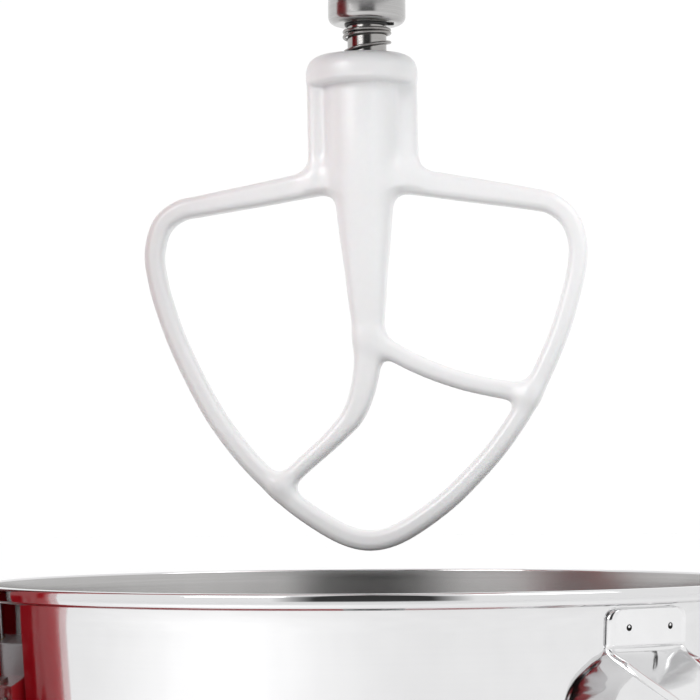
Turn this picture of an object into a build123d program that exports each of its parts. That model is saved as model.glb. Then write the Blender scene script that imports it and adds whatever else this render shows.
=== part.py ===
from build123d import *
import math
import os

# Bowl-lift planetary stand mixer, one STEP per piece, in millimetres.
#
# +X is the front, where the attachment hub is, +Z is up, and the origin is on the
# surface it stands on, under the middle of the base.  The bowl stands at the low
# end of its lift, and the flat beater hangs from the agitator shaft above it.

# ---- driving dimensions ------------------------------------------------------
BASE_LENGTH, BASE_WIDTH, BASE_TOP, BASE_BOTTOM = 380, 290, 34, 5
FOOT_R, FOOT_X, FOOT_Y = 13, 158, 113

COLUMN_FRONT, COLUMN_REAR, COLUMN_TOP = -98, -184, 418
COLUMN_WIDTHS = ((34, 140), (150, 120), (COLUMN_TOP, 124))   # height, width

BOWL_X = 55                 # the bowl's axis, which the planetary turns about
BOWL_RIM_Z, BOWL_RIM_R, BOWL_HEIGHT = 205, 120.5, 165
BOWL_SHEET, RIM_BAND, RIM_PROUD = 1.0, 4.3, 1.9
BOWL_FLAT_R, BOWL_CURVE_H = 40, 80
FOOT_RING_H = 7
HANDLE_ANGLE = -50.5        # about the bowl's axis, from +X
HANDLE_W, HANDLE_SHEET = 30.6, 1.4

SHAFT_R, HUB_R = 6.35, 12.6
ORBIT_R = 37.5              # planetary axis to agitator axis
BEATER_GAP = 8.0            # bowl rim up to the beater's lowest point
BEATER_H, COLLAR_R, COLLAR_H, SPRING_GAP = 161, 17.9, 40, 9.5
BEATER_BAR, BEATER_DEPTH = 6.6, 10

LIFT_TRAVEL = 162
YOKE_Z, YOKE_T, YOKE_IN, YOKE_OUT = 140, 16, 126, 140
PIN_Y, PIN_R = 133, 5
ROD_X, ROD_Y, ROD_R = -116, 31, 5
RACK_X, CRANK_Z, CRANK_ARM = -134, 215, 50

GEAR_M, RING_TEETH, PLANET_TEETH, LIFT_TEETH = 1.5, 66, 16, 24
SPUR_M, WHEEL_TEETH, MOTOR_TEETH = 1.25, 48, 12
BEVEL_M, CROWN_TEETH, BEVEL_TEETH, BEVEL_FACE = 2.0, 36, 12, 10
PILLAR_X = (-44, -18)       # bearing pillars of the input shaft
TURRET_R, TURRET_Z, HOUSING_R = 63.5, 410, 59
PRESSURE = math.radians(20)

DRIVE_Z = 500               # input shaft and attachment hub axis
CARRIER_Z, CARRIER_H, CARRIER_R = 398, 28, 51
HEAD_BOTTOM, HEAD_HALF, HEAD_WALL, HEAD_SPLIT = 418, 64, 5, 480
HUB_FRONT, HUB_OUT, HUB_BORE, HUB_KNOB_X = 184, 28, 20, 174.5
STATOR_R, STATOR_IN = 34, 22
FIT = 0.05                  # radial clearance of a running fit

# ---- derived places ----------------------------------------------------------
BEATER_Z = BOWL_RIM_Z + BEATER_GAP
COLLAR_TOP = BEATER_Z + BEATER_H
HUB_Z = COLLAR_TOP + SPRING_GAP
BOWL_BOTTOM = BOWL_RIM_Z - BOWL_HEIGHT + FOOT_RING_H
RIM_IN = BOWL_RIM_R - RIM_PROUD - BOWL_SHEET
CRANK_X = RACK_X - GEAR_M * LIFT_TEETH / 2
MOTOR_Z = DRIVE_Z - SPUR_M * (WHEEL_TEETH + MOTOR_TEETH) / 2
CROWN_R = BEVEL_M * CROWN_TEETH / 2
BEVEL_R = BEVEL_M * BEVEL_TEETH / 2
INNER_CONE = 1 - BEVEL_FACE / math.hypot(CROWN_R, BEVEL_R)   # small end over large end
AGITATOR = Pos(BOWL_X, ORBIT_R, 0)
BOWL_AXIS = Pos(BOWL_X, 0, 0)

nodes = {}


# ---- shapes used throughout --------------------------------------------------
def box(x0, x1, y0, y1, z0, z1):
    """A block between two corners."""
    middle = Pos((x0 + x1) / 2, (y0 + y1) / 2, (z0 + z1) / 2)
    return middle * Box(x1 - x0, y1 - y0, z1 - z0)


def rod_z(r, z0, z1):
    return Pos(0, 0, (z0 + z1) / 2) * Cylinder(r, z1 - z0)


def rod_x(r, x0, x1):
    return Pos((x0 + x1) / 2, 0, 0) * Rot(0, 90, 0) * Cylinder(r, x1 - x0)


def rod_y(r, y0, y1):
    return Pos(0, (y0 + y1) / 2, 0) * Rot(90, 0, 0) * Cylinder(r, y1 - y0)


def tube_z(r_out, r_in, z0, z1):
    return rod_z(r_out, z0, z1) - rod_z(r_in, z0 - 1, z1 + 1)


def tube_x(r_out, r_in, x0, x1):
    return rod_x(r_out, x0, x1) - rod_x(r_in, x0 - 1, x1 + 1)


def tube_y(r_out, r_in, y0, y1):
    return rod_y(r_out, y0, y1) - rod_y(r_in, y0 - 1, y1 + 1)


def turned(*points):
    """A solid turned about Z from its (radius, height) corners."""
    outline = Polyline(*[(r, 0, z) for r, z in points], close=True)
    return revolve(make_face(outline), Axis.Z)


def sector(angle, half_width, reach, z0, z1):
    """A wedge of space about Z, centred on an angle in degrees."""
    a = math.radians(half_width)
    corners = [(0, 0), (reach, -reach * math.tan(a)), (reach, reach * math.tan(a))]
    wedge = extrude(make_face(Polyline(*corners, close=True)), z1 - z0)
    return Pos(0, 0, z0) * Rot(0, 0, angle) * wedge


def socket_screw(r, length):
    """A screw along -Z from the origin, its head above it, with a hex socket."""
    head = rod_z(1.8 * r, 0, 1.6 * r)
    key = Pos(0, 0, 0.8 * r) * extrude(RegularPolygon(0.9 * r, 6), r)
    return head + rod_z(r, -length, 0) - key


def spread(shape, places):
    """Copies of a shape at each place, as one group of solids."""
    return Compound([Pos(*place) * shape for place in places])


def cut_all(body, *tools):
    """A body with each tool's space taken out of it."""
    for tool in tools:
        body = body - tool
    return body


# ---- gear teeth --------------------------------------------------------------
def involute(t):
    return math.tan(t) - t


def gear_face(teeth, module, add=0.8, dedendum=1.15, thin=0.25):
    """A spur gear's outline with involute flanks, a tooth centred on +X."""
    pitch = module * teeth / 2
    base = pitch * math.cos(PRESSURE)
    tip, root = pitch + add * module, pitch - dedendum * module
    half = (math.pi * module / 2 - thin * module) / (2 * pitch)
    steps = 5
    low = max(base, root)
    flank = []
    for i in range(steps):
        r = low + (tip - low) * i / (steps - 1)
        angle = half + involute(PRESSURE) - involute(math.acos(min(1, base / r)))
        flank.append((r, angle))
    flank.insert(0, (root - 0.001, flank[0][1]))
    points = []
    for k in range(teeth):
        centre = 2 * math.pi * k / teeth
        for r, a in flank:
            points.append((r * math.cos(centre - a), r * math.sin(centre - a)))
        for r, a in reversed(flank):
            points.append((r * math.cos(centre + a), r * math.sin(centre + a)))
    return make_face(Polyline(*points, close=True))


def spur_gear(teeth, module, bore, z0, z1):
    gear = Pos(0, 0, z0) * extrude(gear_face(teeth, module), z1 - z0)
    return gear - rod_z(bore, z0 - 1, z1 + 1)


def along_x(shape):
    """Turns a shape built about Z so that its axis lies along X."""
    return Rot(0, 90, 0) * shape


def bevel_tooth(pitch_r, other_r):
    """One tooth of a bevel gear about Z, pointing at +X, its apex at the origin.

    The section is a trapezoid square to the pitch cone, and it shrinks towards
    the apex as the cone does.
    """
    cone = math.hypot(pitch_r, other_r)
    along = Vector(pitch_r / cone, 0, -other_r / cone)
    out = Vector(other_r / cone, 0, pitch_r / cone)
    across = Vector(0, 1, 0)
    thick = 0.42 * math.pi * BEVEL_M / 2
    rise, sink = 0.75 * BEVEL_M, -1.5 * BEVEL_M
    slope = math.tan(PRESSURE)
    sections = []
    for scale in (1.0, (cone - BEVEL_FACE) / cone):
        corners = []
        for side, height in ((-1, sink), (1, sink), (1, rise), (-1, rise)):
            width = thick - height * slope
            point = along * cone + out * height + across * (side * width)
            corners.append(point * scale)
        sections.append(make_face(Polyline(*corners, close=True)))
    return loft(sections, ruled=True)


def bevel_gear(teeth, pitch_r, other_r, blank, bore, first=0.0):
    """A bevel gear about Z with its apex at the origin and its teeth below it."""
    tooth = bevel_tooth(pitch_r, other_r)
    ring = [Rot(0, 0, first + 360 * k / teeth) * tooth for k in range(teeth)]
    return blank.fuse(*ring) - rod_z(bore, -200, 1)


# ---- base --------------------------------------------------------------------
def make_base():
    slab = extrude(RectangleRounded(BASE_LENGTH, BASE_WIDTH, 70), BASE_TOP - BASE_BOTTOM)
    slab = Pos(0, 0, BASE_BOTTOM) * slab
    top = slab.faces().sort_by(Axis.Z)[-1]
    slab = fillet(top.edges(), 13)
    hollow = extrude(RectangleRounded(BASE_LENGTH - 24, BASE_WIDTH - 24, 58), 17)
    slab -= Pos(0, 0, BASE_BOTTOM - 1) * hollow
    posts = spread(rod_z(FOOT_R + 3, BASE_BOTTOM, BASE_BOTTOM + 17), feet_places())
    slab = slab.fuse(*posts.solids())
    dish = BOWL_AXIS * rod_z(72, BASE_TOP - 1.5, BASE_TOP + 1)
    return slab - dish


def feet_places():
    return [(sx * FOOT_X, sy * FOOT_Y, 0) for sx in (-1, 1) for sy in (-1, 1)]


foot = turned((3, 2), (5.5, 2), (5.5, 0), (FOOT_R - 2, 0), (FOOT_R, 2), (FOOT_R, 9), (3, 9))
casing_screw = socket_screw(2.5, 12)
foot_screws = spread(Pos(0, 0, 4) * Rot(180, 0, 0) * casing_screw, feet_places())
foot = foot - rod_z(4.7, -1, 4) - rod_z(2.5, 3, 10)
nodes["rubber_feet"] = spread(foot, feet_places())
column_bolt = Pos(0, 0, 17) * Rot(180, 0, 0) * socket_screw(4, 26)
column_bolt_places = [(x, y, 5) for x in (-170, -114) for y in (-40, 40)]
nodes["column_bolts"] = spread(column_bolt, column_bolt_places)
foot_seats = spread(rod_z(FOOT_R, 0, 9), feet_places())
nodes["base_casting"] = cut_all(make_base(), foot_seats, foot_screws, nodes["column_bolts"])


# ---- column ------------------------------------------------------------------
def make_column():
    """A hollow casting, narrowest at its waist, with a slot for the yoke in front."""
    middle, depth = (COLUMN_FRONT + COLUMN_REAR) / 2, COLUMN_FRONT - COLUMN_REAR
    shell = loft([
        Pos(middle, 0, z) * RectangleRounded(depth, width, 24) for z, width in COLUMN_WIDTHS
    ])
    shell -= box(COLUMN_REAR + 8, COLUMN_FRONT - 6, -45, 45, 42, 408)
    shell -= box(COLUMN_FRONT - 7, COLUMN_FRONT + 1, -25, 25, 60, 392)
    shell -= box(COLUMN_REAR - 1, COLUMN_REAR + 9, -30, 30, 100, 330)
    return shell


guide_rod = rod_z(ROD_R, 40, 414)
nodes["guide_rods"] = spread(guide_rod, [(ROD_X, -ROD_Y, 0), (ROD_X, ROD_Y, 0)])
cover_plate = Pos(COLUMN_REAR, 0, 215) * Rot(0, -90, 0) * extrude(RectangleRounded(250, 80, 8), 4)
cover_screw_places = [(COLUMN_REAR - 4, y, z) for y in (-34.5, 34.5) for z in (97, 333)]
cover_screws = spread(Rot(0, -90, 0) * casing_screw, cover_screw_places)
rear_cover = cover_plate
for k in range(6):
    rear_cover -= box(COLUMN_REAR - 5, COLUMN_REAR + 1, -24, 24, 260 + 9 * k, 263 + 9 * k)
nodes["column_rear_cover"] = rear_cover - cover_screws

crank_bush = tube_y(10, 6 + FIT, 45, 60) + tube_y(13, 6 + FIT, 60, 62)
far_bush = tube_y(10, 6 + FIT, -52, -45)
crank_axis = Pos(CRANK_X, 0, CRANK_Z)
nodes["crank_bushings"] = Compound([crank_axis * crank_bush, crank_axis * far_bush])

inlet_body = box(COLUMN_REAR - 3, COLUMN_REAR + 14, -16, 16, 52, 78)
inlet = inlet_body - box(COLUMN_REAR - 4, COLUMN_REAR + 8, -12, 12, 57, 73)
for y, z in ((-7, 63), (0, 67), (7, 63)):
    inlet += box(COLUMN_REAR + 2, COLUMN_REAR + 9, y - 1, y + 1, z - 3, z + 3)
nodes["power_inlet"] = inlet
nodes["column_casting"] = cut_all(
    make_column(),
    nodes["guide_rods"],
    crank_axis * rod_y(10, 40, 80),
    crank_axis * rod_y(10, -52, -40),
    crank_axis * rod_y(13, 60, 80),
    cover_screws,
    inlet_body,
    nodes["column_bolts"],
)


# ---- bowl --------------------------------------------------------------------
def bowl_wall(thickness, top=BOWL_RIM_Z):
    """The bowl's sheet: flat floor, elliptical turn and a slightly flared wall."""
    t = thickness
    turn_r = 113.2
    low = BOWL_BOTTOM + BOWL_SHEET
    centre = (BOWL_FLAT_R, low + BOWL_CURVE_H)
    outer = EllipticalCenterArc(centre, turn_r - BOWL_FLAT_R + t, BOWL_CURVE_H + t, 270, arc_size=90)
    wall = Line(outer @ 1, (RIM_IN + t, top))
    floor = Line((0, low - t), outer @ 0)
    axis = Line((0, top), (0, low - t))
    lid = Line((RIM_IN + t, top), (0, top))
    profile = Plane.XZ * make_face([floor, outer, wall, lid, axis])
    return revolve(profile, Axis.Z)


def make_bowl():
    sheet = bowl_wall(BOWL_SHEET) - bowl_wall(0, BOWL_RIM_Z)
    band = tube_z(BOWL_RIM_R, RIM_IN, BOWL_RIM_Z - RIM_BAND, BOWL_RIM_Z)
    edges = [e for e in band.edges().filter_by(GeomType.CIRCLE) if e.radius > BOWL_RIM_R - 0.1]
    band = fillet(edges, 1.2)
    shell = sheet - rod_z(RIM_IN, BOWL_RIM_Z - 0.5, BOWL_RIM_Z + 1)
    return BOWL_AXIS * (shell + band)


bowl_outer = bowl_wall(BOWL_SHEET)
nodes["mixing_bowl"] = make_bowl()
foot_z = BOWL_BOTTOM - FOOT_RING_H
foot_ring = turned(
    (50, foot_z), (56, foot_z), (58, foot_z + 2), (60, BOWL_BOTTOM + 12), (50, BOWL_BOTTOM + 12)
) - tube_z(54, 0.001, foot_z - 1, BOWL_BOTTOM + 13)
nodes["bowl_foot_ring"] = BOWL_AXIS * (foot_ring - bowl_outer)


def handle_outline():
    """The handle's sheet in its own radial plane, from one weld tab to the other."""
    z = BOWL_RIM_Z
    path = FilletPolyline(
        (119.4, z - 16),
        (121, z - 19.5),
        (152, z - 34),
        (163, z - 56),
        (158, z - 84),
        (136, z - 101),
        (109, z - 103.2),
        radius=[2, 10, 16, 18, 14],
    )
    return Plane.XZ * trace(path, HANDLE_SHEET)


def weld_tab(z0, z1, half_angle):
    """A plate that follows the bowl's wall between two heights."""
    plate = bowl_wall(BOWL_SHEET + HANDLE_SHEET) & sector(HANDLE_ANGLE, half_angle, 300, z0, z1)
    return plate - bowl_outer


def make_handle():
    half_angle = math.degrees(HANDLE_W / 2 / 119)
    strap = extrude(handle_outline(), HANDLE_W / 2, both=True)
    strap = Rot(0, 0, HANDLE_ANGLE) * strap
    upper = weld_tab(BOWL_RIM_Z - 19, BOWL_RIM_Z - 5.4, half_angle)
    lower = weld_tab(BOWL_RIM_Z - 117, BOWL_RIM_Z - 101, half_angle)
    handle = (upper + strap + lower) - bowl_outer
    for side in (-1, 1):
        turn = Rot(0, 0, HANDLE_ANGLE + side * math.degrees(8 / 119))
        for z in (BOWL_RIM_Z - 10.5, BOWL_RIM_Z - 112):
            handle -= turn * Pos(0, 0, z) * rod_x(1, 119 - 4, 125)
    return BOWL_AXIS * handle


nodes["bowl_handle"] = make_handle()


def make_bracket(side):
    """A welded ear that carries the bowl on one of the yoke's pins."""
    top = YOKE_Z + YOKE_T
    angle = 90 * side
    tab = tube_z(142, 112, top, top + 2.5) & sector(angle, 5.5, 300, top - 1, top + 4)
    pad = tube_z(118.6, 112, top, top + 18) & sector(angle, 5.5, 300, top, top + 18)
    hole = Pos(0, side * PIN_Y, 0) * rod_z(PIN_R + 0.3, top - 1, top + 5)
    return (tab + pad) - bowl_outer - hole


rear_stud = Pos(0, 0, YOKE_Z + 26) * rod_x(3.5, -124, -112) - bowl_outer
nodes["bowl_brackets"] = BOWL_AXIS * Compound([make_bracket(-1), make_bracket(1), rear_stud])


# ---- bowl lift ---------------------------------------------------------------
def make_yoke():
    top = YOKE_Z + YOKE_T
    ring = tube_z(YOKE_OUT, YOKE_IN, YOKE_Z, top)
    ring &= box(-150, 0, -150, 150, YOKE_Z, top)
    yoke = ring
    for side in (-1, 1):
        yoke += Pos(0, side * PIN_Y, 0) * rod_z(11, YOKE_Z - 2, top)
        yoke -= Pos(0, side * PIN_Y, 0) * rod_z(PIN_R, top - 12, top + 1)
    yoke = BOWL_AXIS * yoke
    yoke += box(-104, -80, -22, 22, YOKE_Z - 8, top + 16)
    yoke -= BOWL_AXIS * rod_z(YOKE_IN, YOKE_Z - 20, top + 30)
    return yoke


carriage_low, carriage_high = YOKE_Z - 14, YOKE_Z + 42
yoke_screw = Rot(0, 90, 0) * socket_screw(3, 36)
yoke_screw_places = [(-83.5, y, z) for y in (-13, 13) for z in (YOKE_Z - 1, YOKE_Z + 23)]
nodes["yoke_screws"] = spread(yoke_screw, yoke_screw_places)
screw_ways = spread(rod_x(5.6, 0, 24), yoke_screw_places)
nodes["bowl_yoke"] = cut_all(make_yoke(), nodes["yoke_screws"], screw_ways)
pin = rod_z(PIN_R, YOKE_Z + 4, YOKE_Z + YOKE_T + 8)
pin = chamfer(pin.edges().sort_by(Axis.Z)[-1], 1)
nodes["locating_pins"] = spread(pin, [(BOWL_X, -PIN_Y, 0), (BOWL_X, PIN_Y, 0)])

bushing = tube_z(8, ROD_R + FIT, 0, 14)
bushing_places = [
    (ROD_X, side * ROD_Y, z) for side in (-1, 1) for z in (carriage_low, carriage_high - 14)
]
nodes["carriage_bushings"] = spread(bushing, bushing_places)
carriage = box(-128, -104, -42, 42, carriage_low, carriage_high)
rod_ways = spread(rod_z(ROD_R + 1, carriage_low - 1, carriage_high + 1),
                  [(ROD_X, -ROD_Y, 0), (ROD_X, ROD_Y, 0)])
bushing_seats = spread(rod_z(8, 0, 14), bushing_places)
nodes["lift_carriage"] = cut_all(carriage, rod_ways, bushing_seats, nodes["yoke_screws"])


def make_rack(z_low, z_high):
    """A flat bar with straight-sided teeth facing the rear."""
    pitch = math.pi * GEAR_M
    half = 0.42 * pitch / 2
    slope = math.tan(PRESSURE)
    tip, root = 0.8 * GEAR_M, 1.15 * GEAR_M
    count = int((z_high - z_low) / pitch / 2)
    points = []
    for k in range(-count - 2, count + 3):
        middle = CRANK_Z + (k + 0.5) * pitch
        for height, side in ((-root, -1), (tip, -1), (tip, 1), (-root, 1)):
            points.append((RACK_X - height, middle + side * (half - height * slope)))
    points = [p for p in points if z_low < p[1] < z_high]
    back = RACK_X + 6
    points = [(back, z_low), (RACK_X + root, z_low)] + points
    points += [(RACK_X + root, z_high), (back, z_high)]
    profile = Plane.XZ * make_face(Polyline(*points, close=True))
    return extrude(profile, 5, both=True)


nodes["lift_rack"] = make_rack(CRANK_Z - LIFT_TRAVEL - 9, CRANK_Z + 10)

latch_low = YOKE_Z + YOKE_T + 16
latch = FilletPolyline(
    (-92, latch_low + 0.6), (-79, latch_low + 0.6), (-71, latch_low + 5), (-66, latch_low + 0.2),
    radius=[3, 3],
)
nodes["latch_spring"] = extrude(Plane.XZ * trace(latch, 1.2), 6, both=True)


# ---- crank -------------------------------------------------------------------
crank_shaft = rod_y(6, -52, 74)
nodes["crank_shaft"] = crank_axis * crank_shaft
pinion = Rot(90, 0, 0) * Pos(0, 0, -6) * extrude(gear_face(LIFT_TEETH, GEAR_M), 12)
nodes["lift_pinion"] = crank_axis * ((pinion + tube_y(11, 6, 6, 20)) - rod_y(6, -30, 30))
arm = extrude(SlotCenterToCenter(CRANK_ARM, 20), 8)
arm = Rot(0, 90, 0) * arm
arm = Rot(0, 0, 90) * Pos(0, 0, CRANK_ARM / 2) * arm
arm = Pos(0, 64, 0) * arm
arm = arm + tube_y(12, 6, 64, 76)
grip_pin = Pos(0, 0, CRANK_ARM) * (rod_y(3.5, 66, 112) + rod_y(6, 110, 112))
nodes["crank_arm"] = crank_axis * ((arm - rod_y(6, 60, 74)) + grip_pin)
grip = Rot(-90, 0, 0) * turned(
    (3.6, 0), (7, 0), (9, 4), (9.5, 14), (8, 26), (9.5, 33), (7, 36.5), (3.6, 36.5)
)
nodes["crank_grip"] = crank_axis * Pos(0, 73, CRANK_ARM) * grip


# ---- head --------------------------------------------------------------------
def head_solid(inset):
    """The head's full form, drawn in by an inset: a long profile with soft edges."""
    low, i = HEAD_BOTTOM, inset
    corners = [
        (-186 + i, low + i), (-186 + i, 540 - i), (-60, 566 - i), (80, 562 - i),
        (164 - i, 538 - i), (164 - i, low + i),
    ]
    radii = [36 - i, 48 - i, 300, 200, 56 - i, 40 - i]
    side = make_face(FilletPolyline(*corners, radius=radii, close=True))
    solid = extrude(Plane.XZ * side, HEAD_HALF - i, both=True)
    flats = solid.faces().sort_by(Axis.Y)
    return fillet(flats[0].edges() + flats[-1].edges(), 35 - i)


def slab_z(z0, z1):
    return box(-300, 300, -200, 200, z0, z1)


head_outer = head_solid(0)
head_inner = head_solid(HEAD_WALL)
head_shell = head_outer - head_inner
hub_way = Pos(0, 0, DRIVE_Z) * rod_x(HUB_OUT, 100, 200)
band_way = slab_z(HEAD_SPLIT - 3, HEAD_SPLIT + 3)
motor_axis = Pos(0, 0, MOTOR_Z)
brush_place = Pos(-149, 0, MOTOR_Z)
turret = BOWL_AXIS * rod_z(TURRET_R, TURRET_Z, 455)
turret = fillet(turret.edges().sort_by(Axis.Z)[0], 4)

lower = (head_shell + turret) & slab_z(400, HEAD_SPLIT - 3)
lower -= BOWL_AXIS * rod_z(HOUSING_R, 420, 460)
lower -= BOWL_AXIS * rod_z(CARRIER_R + 2.5, 400, 440)
lower -= box(-172, -110, -40, 40, 410, 424)
head_screw_places = [(x, y, HEAD_BOTTOM + 3) for x in (-84, -30) for y in (-22, 22)]
head_screws = spread(Rot(180, 0, 0) * casing_screw, head_screw_places)
nodes["casing_screws"] = Compound(
    foot_screws.solids() + cover_screws.solids() + head_screws.solids()
)
for x, y, z in head_screw_places:
    lower += Pos(x, y, 0) * rod_z(7, 422, 431)
    lower -= Pos(x, y, 0) * rod_z(4.6, 400, z)
cradle = box(-136, -100, -26, 26, 422, MOTOR_Z - 12) - motor_axis * rod_x(STATOR_R, -160, -90)
lower += cradle
for x in PILLAR_X:
    pillar = box(x - 5, x + 5, -20, 20, 422, DRIVE_Z + 18)
    pillar -= Pos(0, 0, DRIVE_Z) * rod_x(13, x - 6, x + 6)
    lower += pillar
brush_way = brush_place * rod_y(8, -80, 80)
nodes["head_lower"] = cut_all(lower, head_screws, hub_way, brush_way)

upper = head_shell & slab_z(HEAD_SPLIT + 3, 600)
for k in range(5):
    upper -= box(-200, -174, -28, 28, 489 + 8 * k, 492.5 + 8 * k)
lever_pivot = Pos(-70, 0, 508)
nodes["head_cover"] = cut_all(upper, hub_way, lever_pivot * rod_y(4.2, -80, -50))
band = (head_solid(-0.8) - head_solid(3)) & band_way
nodes["trim_band"] = cut_all(band, hub_way)

drip = turned((CARRIER_R + 2, 410), (CARRIER_R + 2, 402), (CARRIER_R + 4, 401), (62, 405), (62, 410))
nodes["drip_ring"] = BOWL_AXIS * drip

hub_tube = rod_x(HUB_OUT, 114, HUB_FRONT) - rod_x(HUB_BORE, 134, 200) - rod_x(13, 110, 125.5)
hub_tube -= rod_x(8, 120, 140)
hub_tube -= Pos(HUB_KNOB_X, 0, 0) * rod_y(3.1, -40, -15)
hub_ears = [box(HUB_FRONT - 10, HUB_FRONT + 5, y - 3, y + 3, HUB_OUT - 4, HUB_OUT + 9) for y in (-12, 12)]
hinge_line = Pos(HUB_FRONT, 0, HUB_OUT + 4.5)
hub_body = hub_tube.fuse(*hub_ears) - hinge_line * rod_y(2.5, -20, 20)
hub_body -= rod_x(HUB_OUT + 0.5, HUB_FRONT, 200)
hub_height = Pos(0, 0, DRIVE_Z)
nodes["hub_socket"] = hub_height * hub_body
nodes["hub_cover_pin"] = hub_height * hinge_line * rod_y(2.5, -15.5, 15.5)
cover = rod_x(HUB_OUT - 1.6, HUB_FRONT + 0.4, HUB_FRONT + 6)
cover = fillet(cover.edges().sort_by(Axis.X)[-1], 3)
tongue = box(HUB_FRONT + 0.4, HUB_FRONT + 5, -8.5, 8.5, 15, HUB_OUT + 4.5)
cover = cover + tongue + hinge_line * rod_y(4.2, -8.5, 8.5)
cover -= hinge_line * rod_y(2.5 + FIT, -20, 20)
cover += Pos(HUB_FRONT + 3, 0, -16) * rod_x(5, 0, 5)
nodes["hub_cover"] = hub_height * cover

knob_shape = Rot(90, 0, 0) * turned(
    (0, 38), (7, 38), (8.5, 40), (8, 52), (6, 54), (0, 54)
)
for k in range(10):
    knob_shape -= Rot(0, 36 * k, 0) * Pos(9.6, 0, 0) * rod_y(1.7, -60, -40)
nodes["hub_knob"] = hub_height * Pos(HUB_KNOB_X, 0, 0) * (knob_shape + rod_y(3, -39, -21))

nodes["speed_plate"] = Pos(-58, -HEAD_HALF, 508) * Rot(90, 0, 0) * (
    extrude(RectangleRounded(76, 34, 8), 1.2) - Pos(-12, 0, 0) * rod_z(4.2, -1, 3)
)
lever = lever_pivot * (
    rod_y(4, -71, -56)
    + rod_y(10, -71, -65.8)
    + box(-3.5, 3.5, -71, -67, 0, 24)
    + Pos(0, -73, 28) * Sphere(7)
)
nodes["speed_lever"] = lever

# ---- planetary drive ---------------------------------------------------------
agitator_bearing_seat = rod_z(12, CARRIER_Z + 8, CARRIER_Z + CARRIER_H + 1)
carrier = turned(
    (0, CARRIER_Z), (CARRIER_R - 6, CARRIER_Z), (CARRIER_R, CARRIER_Z + 6),
    (CARRIER_R, CARRIER_Z + CARRIER_H), (0, CARRIER_Z + CARRIER_H),
)
carrier -= Pos(0, ORBIT_R, 0) * agitator_bearing_seat
carrier -= Pos(0, ORBIT_R, 0) * rod_z(HUB_R + 0.4, CARRIER_Z - 1, CARRIER_Z + 2)
carrier -= Pos(0, ORBIT_R, 0) * rod_z(8, CARRIER_Z - 1, CARRIER_Z + 10)
carrier -= Pos(0, -ORBIT_R + 4, 0) * rod_z(11, CARRIER_Z + 8, CARRIER_Z + CARRIER_H + 1)
carrier -= rod_z(8, CARRIER_Z + 6, CARRIER_Z + CARRIER_H + 1)
nodes["planetary_carrier"] = BOWL_AXIS * carrier
crown_low = DRIVE_Z - 26
nodes["centre_shaft"] = BOWL_AXIS * rod_z(8, CARRIER_Z + 6, crown_low + 8)
nodes["agitator_bearing"] = AGITATOR * tube_z(12, SHAFT_R + FIT, CARRIER_Z + 10, CARRIER_Z + CARRIER_H)

housing = tube_z(HOUSING_R, 56, 423, 442) + tube_z(HOUSING_R, 16, 442, 452)
nodes["gear_housing"] = BOWL_AXIS * housing
nodes["centre_bearing"] = BOWL_AXIS * tube_z(16, 8 + FIT, 442, 452)
ring_cut = gear_face(RING_TEETH, GEAR_M, add=1.15, dedendum=0.8, thin=-0.25)
ring = rod_z(56, 429, 440) - Pos(0, 0, 420) * Rot(0, 0, 90) * extrude(ring_cut, 40)
nodes["ring_gear"] = BOWL_AXIS * ring
planet = spur_gear(PLANET_TEETH, GEAR_M, SHAFT_R, 429, 439)
nodes["planet_pinion"] = AGITATOR * Rot(0, 0, 90) * planet

crown_apex = BOWL_AXIS * Pos(0, 0, DRIVE_Z)
crown_blank = turned(
    (8, -26), (CROWN_R - 2, -26), (CROWN_R + 1, -BEVEL_R - 4), (CROWN_R + 0.6, -BEVEL_R - 2.4),
    (CROWN_R - BEVEL_FACE, -BEVEL_R * INNER_CONE - 2.2), (CROWN_R - BEVEL_FACE - 4, -15), (8, -15),
)
crown = bevel_gear(CROWN_TEETH, CROWN_R, BEVEL_R, crown_blank, 8)
nodes["crown_wheel"] = crown_apex * crown


def make_bevel_pinion(bore):
    """A bevel pinion about Z, its apex at the origin and its teeth below."""
    hub = turned(
        (bore, -CROWN_R - 10), (BEVEL_R - 2, -CROWN_R - 10), (BEVEL_R - 1.2, -CROWN_R - 1),
        (BEVEL_R - 2.1, -CROWN_R), ((BEVEL_R - 2.1) * INNER_CONE, -CROWN_R * INNER_CONE + 0.5),
        (bore, -CROWN_R * INNER_CONE + 0.5),
    )
    tooth_turn = 180 / BEVEL_TEETH
    return bevel_gear(BEVEL_TEETH, BEVEL_R, CROWN_R, hub, bore, first=tooth_turn)


bevel_pinion = make_bevel_pinion(5)
input_pinion = crown_apex * Rot(0, 90, 0) * bevel_pinion
hub_pinion = crown_apex * Rot(0, -90, 0) * bevel_pinion

# ---- input shaft, motor and attachment drive -----------------------------------
drive_axis = Pos(0, 0, DRIVE_Z)
nodes["input_shaft"] = drive_axis * rod_x(5, -70, BOWL_X - CROWN_R * INNER_CONE - 1) + input_pinion
wheel = along_x(spur_gear(WHEEL_TEETH, SPUR_M, 5, -66, -54))
for k in range(6):
    wheel -= Rot(60 * k, 0, 0) * Pos(0, 18, 0) * rod_x(5, -90, -60)
nodes["reduction_gear"] = drive_axis * wheel
nodes["motor_pinion"] = motor_axis * Rot(180 + 180 / MOTOR_TEETH, 0, 0) * along_x(
    spur_gear(MOTOR_TEETH, SPUR_M, 4, -66.5, -53.5)
)
drive_bearing = tube_x(13, 5 + FIT, -4.5, 4.5)
nodes["drive_bearings"] = Compound(
    [drive_axis * Pos(x, 0, 0) * drive_bearing for x in (*PILLAR_X, 121)]
)
hub_shaft = rod_x(5, BOWL_X + CROWN_R * INNER_CONE + 1, 126) + rod_x(8 - FIT, 126, 133.5)
hub_shaft -= box(127.5, 140, -4, 4, -4, 4)
nodes["hub_drive_shaft"] = drive_axis * hub_shaft + hub_pinion

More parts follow.
